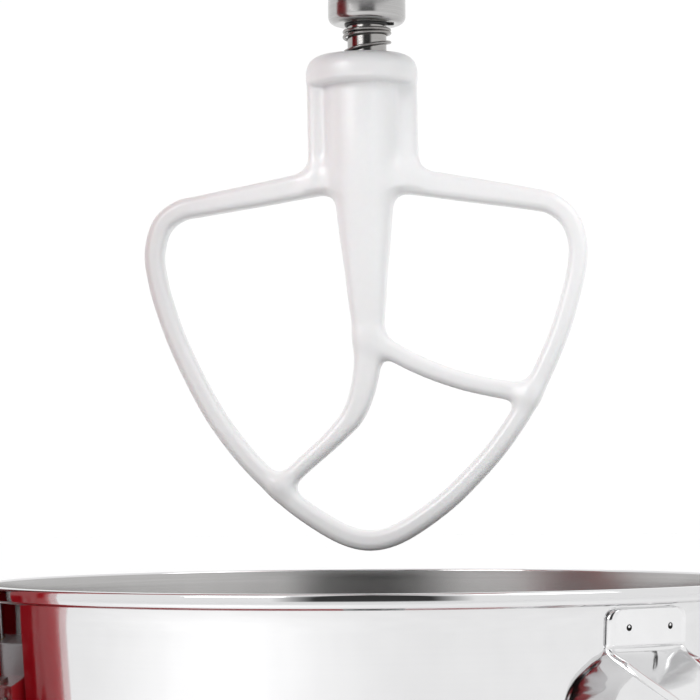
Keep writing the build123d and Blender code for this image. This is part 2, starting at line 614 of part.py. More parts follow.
rotor = rod_x(4, -164, -50) + rod_x(STATOR_IN - 1, -138, -98) + rod_x(11, -155, -143)
rotor += rod_x(17, -142, -94)
for k in range(12):
    rotor -= Rot(30 * k, 0, 0) * Pos(0, STATOR_IN - 2, 0) * rod_x(1.6, -140, -96)
nodes["armature"] = motor_axis * rotor
nodes["motor_stator"] = motor_axis * tube_x(STATOR_R, STATOR_IN, -141, -95)
fan = tube_x(8, 4, -92, -86)
for k in range(9):
    fan += Rot(40 * k, 0, 0) * box(-91.5, -86.5, -0.8, 0.8, 7, 21)
nodes["cooling_fan"] = motor_axis * fan
front_bell = tube_x(STATOR_R, 9, -83, -77) + tube_x(STATOR_R, 30, -95, -83)
rear_bell = tube_x(STATOR_R, 28, -158, -141) + tube_x(STATOR_R - 3, 9, -164, -158)
rear_bell -= Pos(-149, 0, 0) * rod_y(5.5, -50, 50)
nodes["motor_end_bells"] = Compound([motor_axis * front_bell, motor_axis * rear_bell])
nodes["motor_bearings"] = Compound(
    [motor_axis * tube_x(9, 4 + FIT, x, x + 6) for x in (-83, -164)]
)
brush_tube = rod_y(5.5, 11.3, 56) + rod_y(8, 54, 65.5)
brush_tube -= rod_y(6, 65, 66) & box(-8, 8, 60, 70, -1, 1)
nodes["brush_holders"] = Compound(
    [brush_place * brush_tube, brush_place * Rot(180, 0, 0) * brush_tube]
)
board = box(-58, 4, -52, -50, 490, 532)
for x, h in ((-44, 12), (-24, 8), (-10, 10)):
    board += box(x - 5, x + 5, -50, -50 + h, 500, 516)
nodes["control_board"] = board

# ---- agitator ----------------------------------------------------------------
shaft = rod_z(SHAFT_R, BEATER_Z + BEATER_H - 30, 441)
pin_z = COLLAR_TOP - 14
shaft -= Pos(0, 0, pin_z) * rod_x(2, -20, 20)
nodes["agitator_shaft"] = AGITATOR * shaft
hub = tube_z(HUB_R, SHAFT_R, HUB_Z, CARRIER_Z + 1)
hub = fillet([e for e in hub.edges() if e.center().Z < HUB_Z + 0.1 and e.radius > SHAFT_R + 1], 2.6)
nodes["agitator_hub"] = AGITATOR * hub
nodes["drive_pin"] = AGITATOR * Pos(0, 0, pin_z) * rod_x(2, -14, 14)
clip = tube_z(9.4, SHAFT_R, HUB_Z - 1.2, HUB_Z) - box(4, 12, -2.2, 2.2, HUB_Z - 3, HUB_Z + 1)
nodes["spring_clip"] = AGITATOR * clip
SPRING_R, WIRE_R = 7.4, 0.55
spring_low = COLLAR_TOP - 1.2 + WIRE_R
spring_high = HUB_Z - 1.2 - WIRE_R
spring_path = Helix((spring_high - spring_low) / 2.5, spring_high - spring_low, SPRING_R)
coil_section = Plane(spring_path @ 0, z_dir=spring_path % 0) * Circle(WIRE_R)
nodes["beater_spring"] = AGITATOR * Pos(0, 0, spring_low) * sweep(coil_section, spring_path)


# ---- flat beater -------------------------------------------------------------
def beater_limb(side):
    """Half of the outer loop's centre line, from the lowest point to the arm."""
    mirror = [(0, 3.3), (25.2, 16.2), (46.2, 38.6), (62.6, 70.5), (68.3, 95)]
    low = [(side * x, z) for x, z in mirror]
    limb = Spline(*low, tangents=[(side, 0), (0, 1)])
    shoulder = ThreePointArc((side * 68.3, 95), (side * 65.6, 106.6), (side * 56, 112.6))
    arm = Line((side * 56, 112.6), (side * 8, 120.6))
    return [limb, shoulder, arm]


def bar(path, width):
    """A flat-sided bar that follows a path in the beater's plane."""
    return extrude(Plane.XZ * trace(path, width), BEATER_DEPTH / 2, both=True)


def make_beater():
    body = rod_z(COLLAR_R, BEATER_H - COLLAR_H, BEATER_H)
    body = fillet(body.edges().sort_by(Axis.Z)[-1], 5)
    body += rod_z(COLLAR_R - 6, 112, BEATER_H - COLLAR_H + 1)
    for side in (-1, 1):
        limb, shoulder, arm = beater_limb(side)
        body += bar(limb + shoulder, BEATER_BAR)
        body += bar(arm, 8)
    stem = Plane.XZ * make_face(Polyline(
        (-9, 122), (-8.4, 108), (-4.6, 70), (-4.2, 60), (3.6, 60), (5.6, 70), (8.6, 108), (9, 122),
        close=True,
    ))
    body += extrude(stem, BEATER_DEPTH / 2, both=True)
    hook = Spline((-0.3, 62), (-3.4, 47), (-12.5, 35), (-29, 21.5), tangents=[(0, -1), (-1, -0.8)])
    strut = Spline((1, 67), (19, 59.5), (52, 51.5), tangents=[(1, -0.8), (1, 0)])
    body += bar(hook, 7.6)
    body += bar(strut, 6.2)
    bore = rod_z(SHAFT_R + FIT, BEATER_H - 35, BEATER_H + 1)
    spring_seat = rod_z(SPRING_R + WIRE_R + 0.4, BEATER_H - 1.2, BEATER_H + 1)
    pocket = box(-15, 15, -2.4, 2.4, BEATER_H - 22, BEATER_H - 11.9)
    for way in (bore, spring_seat, pocket):
        body -= way
    return body


nodes["flat_beater"] = AGITATOR * Pos(0, 0, BEATER_Z) * make_beater()

os.makedirs("parts", exist_ok=True)
for name, shape in nodes.items():
    export_step(shape, f"parts/{name}.step")
print(len(nodes), "nodes")
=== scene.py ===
import math

import bmesh
import bpy
import numpy as np
from mathutils import Matrix, Vector


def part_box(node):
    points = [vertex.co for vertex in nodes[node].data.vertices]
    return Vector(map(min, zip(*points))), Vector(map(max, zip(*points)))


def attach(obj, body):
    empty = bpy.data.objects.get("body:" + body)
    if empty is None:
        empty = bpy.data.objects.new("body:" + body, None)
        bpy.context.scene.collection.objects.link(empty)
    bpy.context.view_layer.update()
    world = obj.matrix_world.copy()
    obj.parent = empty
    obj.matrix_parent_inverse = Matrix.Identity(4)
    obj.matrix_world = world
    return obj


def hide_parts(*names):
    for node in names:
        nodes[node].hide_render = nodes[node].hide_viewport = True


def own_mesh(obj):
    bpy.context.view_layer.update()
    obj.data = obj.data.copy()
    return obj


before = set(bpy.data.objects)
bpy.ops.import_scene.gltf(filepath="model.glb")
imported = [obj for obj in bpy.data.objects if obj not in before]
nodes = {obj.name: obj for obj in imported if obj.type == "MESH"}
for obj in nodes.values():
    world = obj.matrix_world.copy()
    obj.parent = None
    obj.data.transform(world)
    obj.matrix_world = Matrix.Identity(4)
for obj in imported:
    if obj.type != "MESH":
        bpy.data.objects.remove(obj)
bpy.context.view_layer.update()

MM = 0.001


# ---- Base, column and head -------------------------------------------------------
# The base, the column with its rear cover, both head castings and the bowl's yoke
# are aluminium castings, sprayed with red enamel and baked to a deep gloss. Under
# the gloss the paint keeps the faint ripple that sprayed enamel always has.

def add(tree, kind, inputs=(), **options):
    """Adds a shader node to a tree; each input takes a value, or a link from another node's socket."""
    made = tree.nodes.new("ShaderNode" + kind)
    for option, value in options.items():
        setattr(made, option, value)
    for socket, value in dict(inputs).items():
        if isinstance(value, bpy.types.NodeSocket):
            tree.links.new(value, made.inputs[socket])
        else:
            made.inputs[socket].default_value = value
    return made


def effect(name, inputs, outputs):
    """Starts a node group with named sockets, and gives its tree, its input node and its output node."""
    tree = bpy.data.node_groups.new(name, "ShaderNodeTree")
    for way, sockets in (("INPUT", inputs), ("OUTPUT", outputs)):
        for label, kind in sockets.items():
            tree.interface.new_socket(name=label, in_out=way, socket_type="NodeSocket" + kind)
    return tree, tree.nodes.new("NodeGroupInput"), tree.nodes.new("NodeGroupOutput")


def noise(tree, vector, scale, detail):
    """A noise texture's value at that many waves to the metre."""
    sockets = {"Vector": vector, "Scale": scale, "Detail": detail, "Roughness": 0.55}
    return add(tree, "TexNoise", sockets).outputs[0]


def cast_marks():
    """Marks of a cast, sprayed or moulded skin: even grain, and blotches forty times as wide."""
    tree, given, result = effect(
        "cast marks", {"Vector": "Vector", "Scale": "Float"}, {"Marks": "Float", "Blotches": "Float"}
    )
    wide = add(tree, "Math", {0: given.outputs["Scale"], 1: 0.025}, operation="MULTIPLY").outputs[0]
    grain = noise(tree, given.outputs["Vector"], given.outputs["Scale"], 3.0)
    tree.links.new(grain, result.inputs["Marks"])
    tree.links.new(noise(tree, given.outputs["Vector"], wide, 2.0), result.inputs["Blotches"])
    return tree


def finish(name, dark, light, roughness, marks, scale, bump=0.02, edge=0.0, middle=(0, 0, 0),
           turn=(0, 0, 0), **constants):
    """A material whose colour runs from dark to light with its marks, and whose roughness follows
    its blotches. bump is the marks' depth in mm, edge the radius in mm that sharp edges seem rounded
    to, and middle and turn, in degrees, lay the marks' own Z axis along the piece's axis."""
    material = bpy.data.materials.new(name)
    material.use_nodes = True
    tree = material.node_tree
    shader = tree.nodes["Principled BSDF"]
    for socket, value in constants.items():
        shader.inputs[socket.replace("_", " ")].default_value = value
    turned = Matrix.Identity(3)
    for axis, angle in zip("XYZ", turn):
        turned = Matrix.Rotation(math.radians(angle), 3, axis) @ turned
    place = add(tree, "TexCoord").outputs["Object"]
    place = add(tree, "Mapping", {
        "Vector": place,
        "Location": -(turned @ Vector(middle)),
        "Rotation": [math.radians(angle) for angle in turn],
    }).outputs[0]
    worked = add(tree, "Group", {"Vector": place, "Scale": scale}, node_tree=marks).outputs
    colour = add(tree, "Mix", {
        0: worked["Marks"], 6: (*dark, 1), 7: (*light, 1),
    }, data_type="RGBA").outputs[2]
    tree.links.new(colour, shader.inputs["Base Color"])
    rough = add(tree, "MapRange", {
        0: worked["Blotches"], 1: 0.25, 2: 0.75, 3: roughness[0], 4: roughness[1],
    }).outputs[0]
    tree.links.new(rough, shader.inputs["Roughness"])
    sockets = {"Strength": 1.0, "Distance": bump * MM, "Height": worked["Marks"]}
    if edge:
        sockets["Normal"] = add(tree, "Bevel", {0: edge * MM}, samples=4).outputs[0]
    tree.links.new(add(tree, "Bump", sockets).outputs[0], shader.inputs["Normal"])
    return material


def dress(material, *names):
    """Gives CAD nodes that material."""
    for name in names:
        for slot in nodes[name].material_slots:
            slot.material = material


cast = cast_marks()
red_enamel = finish(
    "red enamel", (0.33, 0.004, 0.010), (0.42, 0.008, 0.016), (0.16, 0.26), cast, 420.0,
    bump=0.010, edge=1.2, Coat_Weight=1.0, Coat_Roughness=0.03, Coat_IOR=1.5, Specular_IOR_Level=0.5,
)
dress(red_enamel, "base_casting", "column_casting", "column_rear_cover", "head_lower", "head_cover",
      "bowl_yoke")
foot_rubber = finish(
    "foot rubber", (0.016, 0.016, 0.017), (0.034, 0.034, 0.035), (0.62, 0.85), cast, 1400.0,
    bump=0.05, edge=0.6,
)
dress(foot_rubber, "rubber_feet")


# ---- Screws, pins and rods -------------------------------------------------------
# Screws are zinc plated, with a faint warm tint. The guide rods, pins and shafts are
# ground or turned in a lathe, which leaves fine rings right round them.

def ring_marks():
    """Marks of turned metal: rings about Z that change with radius and height, and hardly with angle."""
    tree, given, result = effect(
        "ring marks", {"Vector": "Vector", "Scale": "Float"}, {"Marks": "Float", "Blotches": "Float"}
    )
    parts = add(tree, "SeparateXYZ", {0: given.outputs["Vector"]}).outputs
    across = add(tree, "CombineXYZ", {0: parts[0], 1: parts[1]}).outputs[0]
    radius = add(tree, "VectorMath", {0: across}, operation="LENGTH").outputs["Value"]
    angle = add(tree, "Math", {0: parts[0], 1: 0.01}, operation="MULTIPLY").outputs[0]
    ring = add(tree, "CombineXYZ", {0: radius, 1: parts[2], 2: angle}).outputs[0]
    wide = add(tree, "Math", {0: given.outputs["Scale"], 1: 0.02}, operation="MULTIPLY").outputs[0]
    tree.links.new(noise(tree, ring, given.outputs["Scale"], 4.0), result.inputs["Marks"])
    tree.links.new(noise(tree, given.outputs["Vector"], wide, 3.0), result.inputs["Blotches"])
    return tree


def line_marks():
    """Marks of drawn or brushed metal: long scratches along Z, from noise squeezed eighty to one."""
    tree, given, result = effect(
        "line marks", {"Vector": "Vector", "Scale": "Float"}, {"Marks": "Float", "Blotches": "Float"}
    )
    sockets = {0: given.outputs["Vector"], 1: (1.0, 1.0, 0.0125)}
    along = add(tree, "VectorMath", sockets, operation="MULTIPLY").outputs[0]
    wide = add(tree, "Math", {0: given.outputs["Scale"], 1: 0.02}, operation="MULTIPLY").outputs[0]
    tree.links.new(noise(tree, along, given.outputs["Scale"], 4.0), result.inputs["Marks"])
    tree.links.new(noise(tree, given.outputs["Vector"], wide, 3.0), result.inputs["Blotches"])
    return tree


rings, lines = ring_marks(), line_marks()
ALONG_X = (0, -90, 0)
ALONG_Y = (90, 0, 0)


def middle_of(name):
    """The middle of the box round a CAD node."""
    return np.array(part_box(name)).mean(axis=0)


def steel(name, shade, roughness, marks, scale, tone=0.76, **more):
    """Bare metal of that grey shade, its marks darker than its bright places by the tone."""
    dark = [tone * part for part in shade]
    return finish(name, dark, shade, roughness, marks, scale, Metallic=1.0, **more)


zinc = steel("zinc plate", (0.62, 0.61, 0.57), (0.26, 0.42), cast, 900.0, bump=0.006, edge=0.3)
dress(zinc, "casing_screws", "column_bolts", "yoke_screws")
ground_rods = steel("ground rods", (0.56, 0.56, 0.57), (0.12, 0.24), rings, 2600.0, bump=0.002, edge=0.4)
dress(ground_rods, "guide_rods", "locating_pins")
bowl_middle = middle_of("mixing_bowl")
centred = steel(
    "turned centre shaft", (0.50, 0.50, 0.51), (0.18, 0.30), rings, 2200.0, bump=0.003, edge=0.4,
    middle=bowl_middle,
)
dress(centred, "centre_shaft", "centre_bearing")
cross_shafts = steel(
    "turned cross shafts", (0.50, 0.50, 0.51), (0.18, 0.30), rings, 2200.0, bump=0.003, edge=0.4,
    middle=middle_of("crank_shaft"), turn=ALONG_Y,
)
dress(cross_shafts, "crank_shaft", "hub_cover_pin")


# ---- Gears and bearings ----------------------------------------------------------
# The gears are hobbed from carbon steel and run in a film of oil, so they are darker
# than the shafts. Bushings are sintered bronze, with its open grain, and the carrier,
# the housings and the motor's end bells are blasted aluminium castings.

gear_steel = steel(
    "oiled gear steel", (0.34, 0.335, 0.33), (0.16, 0.34), cast, 1100.0, bump=0.008, edge=0.25,
    Coat_Weight=0.35, Coat_Roughness=0.12,
)
dress(gear_steel, "ring_gear", "planet_pinion", "crown_wheel", "input_shaft", "reduction_gear",
      "motor_pinion", "lift_rack", "lift_pinion", "hub_drive_shaft")
bearing_steel = steel(
    "ground bearing steel", (0.66, 0.66, 0.68), (0.10, 0.20), rings, 2400.0, bump=0.002, edge=0.3,
    middle=middle_of("drive_bearings"), turn=ALONG_X,
)
dress(bearing_steel, "agitator_bearing", "drive_bearings", "motor_bearings")
bronze = finish(
    "sintered bronze", (0.42, 0.26, 0.10), (0.66, 0.44, 0.19), (0.34, 0.52), cast, 2600.0,
    bump=0.02, edge=0.3, Metallic=1.0,
)
dress(bronze, "carriage_bushings", "crank_bushings")
cast_aluminium = finish(
    "blasted aluminium", (0.40, 0.40, 0.41), (0.60, 0.60, 0.61), (0.42, 0.60), cast, 1300.0,
    bump=0.05, edge=0.8, Metallic=1.0,
)
dress(cast_aluminium, "planetary_carrier", "gear_housing", "lift_carriage", "motor_end_bells")


# ---- Motor and control board -----------------------------------------------------
# Stator and armature are stacks of thin steel sheets, seen as fine lines across the
# motor's axis. The board is glass epoxy under a green lacquer.

sheet_stack = finish(
    "stacked sheets", (0.13, 0.12, 0.115), (0.34, 0.32, 0.31), (0.40, 0.58), rings, 1900.0,
    bump=0.03, edge=0.3, middle=middle_of("motor_stator"), turn=ALONG_X, Metallic=0.9,
)
dress(sheet_stack, "motor_stator", "armature")
board_green = finish(
    "board lacquer", (0.008, 0.075, 0.030), (0.020, 0.150, 0.060), (0.22, 0.36), lines, 700.0,
    bump=0.012, edge=0.2, middle=middle_of("control_board"), turn=ALONG_X, Coat_Weight=0.4,
)
dress(board_green, "control_board")


# ---- Black mouldings -------------------------------------------------------------
# Knobs, lever, inlet, brush holders and fan are glass-filled nylon. The mould is
# etched, so they have a fine even grain and a low sheen.

moulded = finish(
    "black moulding", (0.012, 0.012, 0.013), (0.030, 0.030, 0.032), (0.36, 0.50), cast, 1700.0,
    bump=0.035, edge=0.5, Specular_IOR_Level=0.45,
)
dress(moulded, "speed_lever", "hub_knob", "power_inlet", "brush_holders", "cooling_fan")


# ---- Trim and attachment hub -----------------------------------------------------
# The band round the head, the speed plate and the crank's arm are brushed from front
# to back. The hub, its cover and the drip ring are turned stainless steel.

band_steel = steel(
    "brushed band", (0.70, 0.69, 0.68), (0.22, 0.34), lines, 2600.0, bump=0.006, edge=0.5,
    middle=middle_of("trim_band"), turn=ALONG_X,
)
dress(band_steel, "trim_band", "speed_plate", "crank_arm")
hub_steel = steel(
    "turned attachment hub", (0.72, 0.71, 0.70), (0.14, 0.26), rings, 1500.0, bump=0.004, edge=0.7,
    middle=middle_of("hub_drive_shaft"), turn=ALONG_X,
)
dress(hub_steel, "hub_socket", "hub_cover")
drip_steel = steel(
    "turned drip ring", (0.74, 0.73, 0.72), (0.12, 0.22), rings, 1300.0, bump=0.003, edge=0.5,
    middle=bowl_middle,
)
dress(drip_steel, "drip_ring")
spring_strip = steel(
    "spring strip", (0.50, 0.48, 0.45), (0.24, 0.36), lines, 2400.0, bump=0.004, edge=0.2,
    middle=middle_of("latch_spring"), turn=ALONG_X,
)
dress(spring_strip, "latch_spring")


# ---- Crank grip ------------------------------------------------------------------
# The crank's grip is a turned nylon knob that spins on a steel stud: a waist for two
# fingers, a swelling for the palm, and shallow grooves so that a wet hand holds.

def surface(name, grid):
    """A mesh from a grid of points, rows by columns by three, with a face in each cell, and the last
    column joined to the first. Points that meet, as at a pole, are merged, and each face gets the
    grid's own place as its UV: the column's share along U and the row's along V."""
    rows, columns = grid.shape[:2]
    index = np.arange(rows * columns).reshape(rows, columns)
    index = np.hstack([index, index[:, :1]])
    corners = [index[:-1, :-1], index[:-1, 1:], index[1:, 1:], index[1:, :-1]]
    faces = np.stack(corners, axis=-1).reshape(-1, 4)
    mesh = bpy.data.meshes.new(name)
    mesh.from_pydata(grid.reshape(-1, 3).tolist(), [], faces.tolist())
    across, down = index.shape[1] - 1, rows - 1
    v, u = np.meshgrid(np.arange(down), np.arange(across), indexing="ij")
    u_corners = np.stack([u, u + 1, u + 1, u], axis=-1) / across
    v_corners = np.stack([v, v, v + 1, v + 1], axis=-1) / down
    layer = mesh.uv_layers.new(name="surface")
    layer.data.foreach_set("uv", np.stack([u_corners, v_corners], axis=-1).ravel())
    weld(mesh)
    piece = bpy.data.objects.new(name, mesh)
    bpy.context.scene.collection.objects.link(piece)
    return piece


def weld(mesh):
    """Merges points that meet, turns the faces outwards and shades them smooth."""
    work = bmesh.new()
    work.from_mesh(mesh)
    bmesh.ops.remove_doubles(work, verts=work.verts, dist=0.002 * MM)
    bmesh.ops.recalc_face_normals(work, faces=work.faces)
    work.to_mesh(mesh)
    work.free()
    mesh.shade_smooth()


def turned_piece(name, profile, middle, steps=96, axis="Z"):
    """A profile of (radius, height) points carried once round an axis through middle: each point
    goes to middle + radius times the unit circle + height along the axis."""
    angle = np.linspace(0, 2 * math.pi, steps, endpoint=False)
    radius, height = np.asarray(profile, float).T
    across = [radius[:, None] * np.cos(angle), radius[:, None] * np.sin(angle)]
    up = np.repeat(height[:, None], steps, axis=1)
    order = {"Z": (*across, up), "Y": (across[0], up, across[1])}[axis]
    return surface(name, np.stack(order, axis=-1) + np.asarray(middle, float))


def corner(centre, radius, start, end, points=8):
    """Points of a round corner: centre plus radius at angles from start to end, in degrees."""
    angle = np.radians(np.linspace(start, end, points))
    return np.stack([centre[0] + radius * np.cos(angle), centre[1] + radius * np.sin(angle)], axis=-1)


def set_finish(piece, body, slot, material, *stands_for):
    """Gives a new piece its material and its body, and hides the CAD nodes that it stands for; slot is not
    used.
    """
    piece.data.materials.append(material)
    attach(piece, body)
    if stands_for:
        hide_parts(*stands_for)
    return piece


grip_low, grip_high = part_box("crank_grip")
grip_radius = (grip_high.x - grip_low.x) / 2
grip_length = grip_high.y - grip_low.y
grip_bore = 4.1 * MM

# The radius is a swelling, the square of a sine, less a bell-shaped waist, with a quarter of an
# ellipse at each end, and the grooves are narrow bells cut into it.
share = np.linspace(0, 1, 120)
waist = 0.16 * np.exp(-((share - 0.80) / 0.10) ** 2)
swell = 0.80 + 0.20 * np.sin(math.pi * (0.12 + 0.95 * share)) ** 2 - waist
end_round = np.sqrt(np.clip(1 - np.clip((share - 0.93) / 0.075, 0, 1) ** 2, 0.02, 1))
end_round *= np.sqrt(np.clip(1 - np.clip((0.06 - share) / 0.065, 0, 1) ** 2, 0.02, 1))
grooved = (share > 0.28) & (share < 0.68)
grooves = 0.03 * np.exp(-(((share - 0.28) % 0.09 - 0.045) / 0.008) ** 2) * grooved
skin_radius = grip_radius * (swell * end_round - grooves)
grip_skin = np.stack([skin_radius, grip_high.y - share * grip_length], axis=-1)
bore_start = [grip_bore, grip_high.y - 1 * MM]
grip_profile = np.vstack([
    [bore_start, [grip_bore, grip_high.y]], grip_skin, [[grip_bore, grip_low.y], bore_start],
])
grip_middle = ((grip_low.x + grip_high.x) / 2, 0, (grip_low.z + grip_high.z) / 2)
grip = turned_piece("crank_grip_knob", grip_profile, grip_middle, axis="Y")
set_finish(grip, "crank_grip", "black_plastic", moulded, "crank_grip")


# ---- Mixing bowl -----------------------------------------------------------------
# The bowl is deep drawn from one millimetre stainless sheet. Its rim is rolled into a band, the
# outside is mirror polished, and the inside keeps its brushed rings. The inside's grey is set darker
# than the outside's, as painted shade.

def brushed_by_uv(name, shade, roughness, anisotropy, scale, marks, **more):
    """Bare metal whose highlights spread across brush marks that run along the piece's U."""
    material = steel(name, shade, roughness, marks, scale, Anisotropic=anisotropy, **more)
    tree = material.node_tree
    tangent = add(tree, "Tangent", direction_type="UV_MAP", uv_map="surface").outputs[0]
    tree.links.new(tangent, tree.nodes["Principled BSDF"].inputs["Tangent"])
    return material


bowl_low, bowl_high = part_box("mixing_bowl")
bowl_axis = ((bowl_low.x + bowl_high.x) / 2, (bowl_low.y + bowl_high.y) / 2, 0)
rim_radius = (bowl_high.x - bowl_low.x) / 2
rim_top = bowl_high.z
rim_proud, band_tall, bowl_sheet, flare_stops = 1.9 * MM, 4.3 * MM, 1.0 * MM, 1.0 * MM
lip_round, band_round, foot_round, tuck_round = 0.7 * MM, 1.15 * MM, 0.75 * MM, 0.35 * MM
wall_radius = rim_radius - rim_proud - bowl_sheet
turn_radius, flat_radius, turn_tall = 113.2 * MM, 40 * MM, 80 * MM
floor_top = bowl_low.z + bowl_sheet


def wall_points(thickness):
    """The wall from the floor's flat to under the rim: a quarter of an ellipse, then a straight
    flare, both moved outwards by the thickness."""
    angle = np.linspace(-math.pi / 2, 0, 70)
    turn = np.stack([
        flat_radius + (turn_radius - flat_radius + thickness) * np.cos(angle),
        floor_top + turn_tall + (turn_tall + thickness) * np.sin(angle),
    ], axis=-1)
    end = np.array([wall_radius + thickness, rim_top - flare_stops])
    flare = turn[-1] + np.linspace(0, 1, 24)[1:, None] * (end - turn[-1])
    return np.vstack([turn, flare])


def wall_at(height, thickness):
    """The wall's radius at a height, that far outside its inner face."""
    points = wall_points(thickness)
    return np.interp(height, points[:, 1], points[:, 0])


inside = wall_points(0.0)
outside = wall_points(bowl_sheet)
band_low, under_band = rim_top - band_tall, 0.4 * MM
under_rim = outside[outside[:, 1] < band_low - under_band]
lip = corner((wall_radius + lip_round, rim_top - lip_round), lip_round, 180, 90)
band_top = corner((rim_radius - band_round, rim_top - band_round), band_round, 90, 12, 10)
band_foot = corner((rim_radius - foot_round, band_low + foot_round), foot_round, -8, -90)
tuck_centre = (wall_radius + bowl_sheet + tuck_round, band_low - tuck_round)
tuck = corner(tuck_centre, tuck_round, 90, 180, 5)
bowl_profile = np.vstack([
    [[0, floor_top], [flat_radius * 0.5, floor_top]], inside[:-1], lip, band_top, band_foot, tuck,
    under_rim[::-1], [[flat_radius * 0.5, bowl_low.z], [0, bowl_low.z]],
])
bowl = turned_piece("bowl_shell", bowl_profile, bowl_axis, steps=256)
mirror = steel(
    "mirror polished sheet", (0.73, 0.73, 0.735), (0.03, 0.08), rings, 900.0, bump=0.0004, tone=0.965,
    middle=bowl_axis,
)
# The inside is the same steel as the outside, but its grey is set well below the outside's: the steel's
# own grey, darkened as painted shade for the dim reflections inside the bowl.
brushed = brushed_by_uv(
    "brushed bowl inside with painted shade", (0.53, 0.525, 0.52), (0.18, 0.26), 0.75, 1800.0, rings, bump=0.003,
    tone=0.82, middle=bowl_axis,
)
set_finish(bowl, "bowl_lift", "polished_steel", mirror, "mixing_bowl")
bowl.data.materials.append(brushed)
face_middles = np.zeros(len(bowl.data.polygons) * 3, np.float32)
bowl.data.polygons.foreach_get("center", face_middles)
face_middles = face_middles.reshape(-1, 3) - np.array(bowl_axis)
face_radius = np.linalg.norm(face_middles[:, :2], axis=1)
mid_wall = wall_at(face_middles[:, 2], bowl_sheet / 2)
is_inside = (face_radius < mid_wall) & (face_middles[:, 2] > floor_top - bowl_sheet / 2)
brushed_to = rim_top - 0.6 * MM
is_inside &= face_middles[:, 2] < brushed_to
bowl.data.polygons.foreach_set("material_index", is_inside.astype(np.int32))
dress(mirror, "bowl_foot_ring", "bowl_brackets")


# ---- Bowl handle -----------------------------------------------------------------
# The handle is a strap of stainless sheet, spot welded to the bowl at both ends. Its
# long edges are rolled over, which stiffens it and keeps sharp metal off the hand.

def smooth_line(points, steps=12):
    """A smooth line through points of any width: between each two, a cubic whose slope at a
    point is half the step from the point before to the point after."""
    points = np.asarray(points, float)
    padded = np.vstack([2 * points[0] - points[1], points, 2 * points[-1] - points[-2]])
    before, start, end, after = padded[:-3], padded[1:-2], padded[2:-1], padded[3:]
    t = np.linspace(0, 1, steps, endpoint=False)[None, :, None]
    before, start, end, after = (part[:, None, :] for part in (before, start, end, after))
    line = 0.5 * (
        2 * start + (end - before) * t + (2 * before - 5 * start + 4 * end - after) * t ** 2
        + (3 * start - before - 3 * end + after) * t ** 3
    )
    return np.vstack([line.reshape(-1, points.shape[1]), points[-1:]])


handle_angle = math.radians(-50.5)
handle_half = 15.3 * MM
strap_thick = 1.4 * MM
strap_mid = bowl_sheet + strap_thick / 2


def welded_tab(top_down, end_down, points):
    """The strap's middle where it lies on the bowl's wall, between two depths in mm below the rim."""
    heights = np.linspace(rim_top - top_down * MM, rim_top - end_down * MM, points)
    return [(wall_at(height, strap_mid), height) for height in heights]


# The free strap's points are (out from the bowl's axis, down from the rim), in mm.
free_strap = [
    (122.6, 20.2), (130, 24), (143, 30), (152.5, 36), (159.5, 46), (162.3, 58),
    (161.6, 70), (157.5, 83), (149, 93), (136.5, 100), (122, 102.6), (114.5, 103.2),
]
free_strap = [(out * MM, rim_top - down * MM) for out, down in free_strap]
route = smooth_line(welded_tab(5.4, 17, 7) + free_strap + welded_tab(106, 117, 5), steps=10)
step = np.diff(route, axis=0)
distance = np.concatenate([[0], np.cumsum(np.linalg.norm(step, axis=1))])
slope = np.gradient(route, distance, axis=0)
slope /= np.linalg.norm(slope, axis=1, keepdims=True)
outward = np.stack([-slope[:, 1], slope[:, 0]], axis=-1)
corner_round = 3.2 * MM
from_end = np.minimum(distance, distance[-1] - distance)
from_corner = corner_round - np.clip(from_end, 0, corner_round)
half_width = handle_half - corner_round + np.sqrt(np.maximum(corner_round ** 2 - from_corner ** 2, 0))
tab_length, leaving = 13 * MM, 7 * MM
free = np.clip((from_end - tab_length) / leaving, 0, 1)
free = free ** 2 * (3 - 2 * free)

# Round the section the points run over the strap's outer face and back along its inner one. Each
# long edge stands up in a bell-shaped roll, low on the tabs and full along the free strap. On the
# tabs the section bends back round the bowl, by the square of its reach over twice the radius.
across = np.sin(np.linspace(-math.pi / 2, math.pi / 2, 41))
roll_tall, roll_wide = 1.5 * MM, 0.055
rolled = np.exp(-((np.abs(across) - 0.94) / roll_wide) ** 2)
side_round = np.sqrt(np.clip(1 - across ** 16, 0, 1))
roll = (0.45 + 0.55 * free[:, None]) * roll_tall * rolled * side_round
top_side = strap_thick / 2 * side_round + roll
low_side = -strap_thick / 2 * side_round + 0.35 * free[:, None] * roll
lift = np.hstack([top_side, low_side[:, -2:0:-1]])
reach = np.concatenate([across, across[-2:0:-1]])[None, :] * half_width[:, None]
radial = route[:, :1] + outward[:, :1] * lift
height = route[:, 1:] + outward[:, 1:] * lift
radial = radial - reach ** 2 / (2 * radial) * (1 - free[:, None])
cos_h, sin_h = math.cos(handle_angle), math.sin(handle_angle)
strap_grid = np.stack([
    bowl_axis[0] + radial * cos_h - reach * sin_h,
    bowl_axis[1] + radial * sin_h + reach * cos_h,
    height,
], axis=-1)
caps = strap_grid[[0, -1]].mean(axis=1, keepdims=True).repeat(strap_grid.shape[1], axis=1)
handle = surface("handle_strap", np.concatenate([caps[:1], strap_grid, caps[1:]]))
handle_steel = steel(
    "polished handle", (0.80, 0.80, 0.805), (0.05, 0.12), cast, 260.0, bump=0.010, tone=0.95,
)
set_finish(handle, "bowl_lift", "polished_steel", handle_steel, "bowl_handle")

# A weld's profile is (radius, height above the strap), in mm: a shallow dish with a raised edge.
dish_radius, dish_height = np.array([
    (0, -0.06), (0.45, -0.04), (0.72, 0.0), (0.86, 0.02), (0.95, -0.02), (0.92, -0.3), (0, -0.4),
]).T[:, :, None] * MM
burnt_steel = finish(
    "burnt weld", (0.006, 0.006, 0.006), (0.020, 0.019, 0.018), (0.80, 0.95), cast, 2600.0, bump=0.02,
    Specular_IOR_Level=0.05,
)
spots_apart, dish_proud = 16 * MM, 0.05 * MM
upper_spots, lower_spots = rim_top - 10.5 * MM, rim_top - 112 * MM


